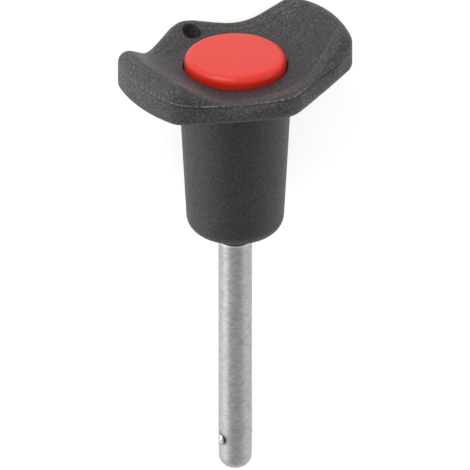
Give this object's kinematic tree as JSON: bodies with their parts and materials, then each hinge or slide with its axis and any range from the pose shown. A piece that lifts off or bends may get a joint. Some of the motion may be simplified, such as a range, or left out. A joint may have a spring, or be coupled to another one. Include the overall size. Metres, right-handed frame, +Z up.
{
  "type": "ball lock pin",
  "caption": "Quick-release ball lock pin with a winged plastic hand grip, a round push button in its middle and a steel shank with spring-released locking balls.",
  "frame": {"origin": "centre of the bounding box's footprint, on the floor the pin lies on", "axes": "+X runs along the floor from the tip towards the push button, +Z up; the pin's own axis rises from the tip at the lean the grip gives it"},
  "size_m": [0.0872, 0.0422, 0.0336],
  "materials": {
    "grip_plastic": "matte, fine grain",
    "button_plastic": "satin",
    "shank_steel": "turned, satin",
    "spindle_steel": "turned",
    "spring_steel": "drawn wire",
    "washer_steel": "stamped",
    "ball_steel": "polished"
  },
  "bodies": {
    "handle": {"grip": "grip_plastic", "shank": "shank_steel", "spring_washer": "washer_steel", "release_spring": "spring_steel"},
    "plunger": {"push_button": "button_plastic", "spindle": "spindle_steel"},
    "ball_1": {"locking_ball_1": "ball_steel"},
    "ball_2": {"locking_ball_2": "ball_steel"}
  },
  "joints": [
    {"name": "button_press", "type": "slide", "parent": "handle", "child": "plunger", "axis": [-0.9846, 0, -0.175], "range_m": [0, 0.0032], "stiffness_N_per_m": 1500, "springref_m": -0.003, "deforming": ["release_spring"]},
    {"name": "ball_1_slide", "type": "slide", "parent": "handle", "child": "ball_1", "axis": [-0.0753, 0.9026, 0.4239], "range_m": [0, 0.00053]},
    {"name": "ball_2_slide", "type": "slide", "parent": "handle", "child": "ball_2", "axis": [0.0753, -0.9026, -0.4239], "range_m": [0, 0.00053]}
  ],
  "couplings": [
    {"joint": "ball_1_slide", "follows": "button_press", "ratio": 0.16562},
    {"joint": "ball_2_slide", "follows": "button_press", "ratio": 0.16562}
  ]
}
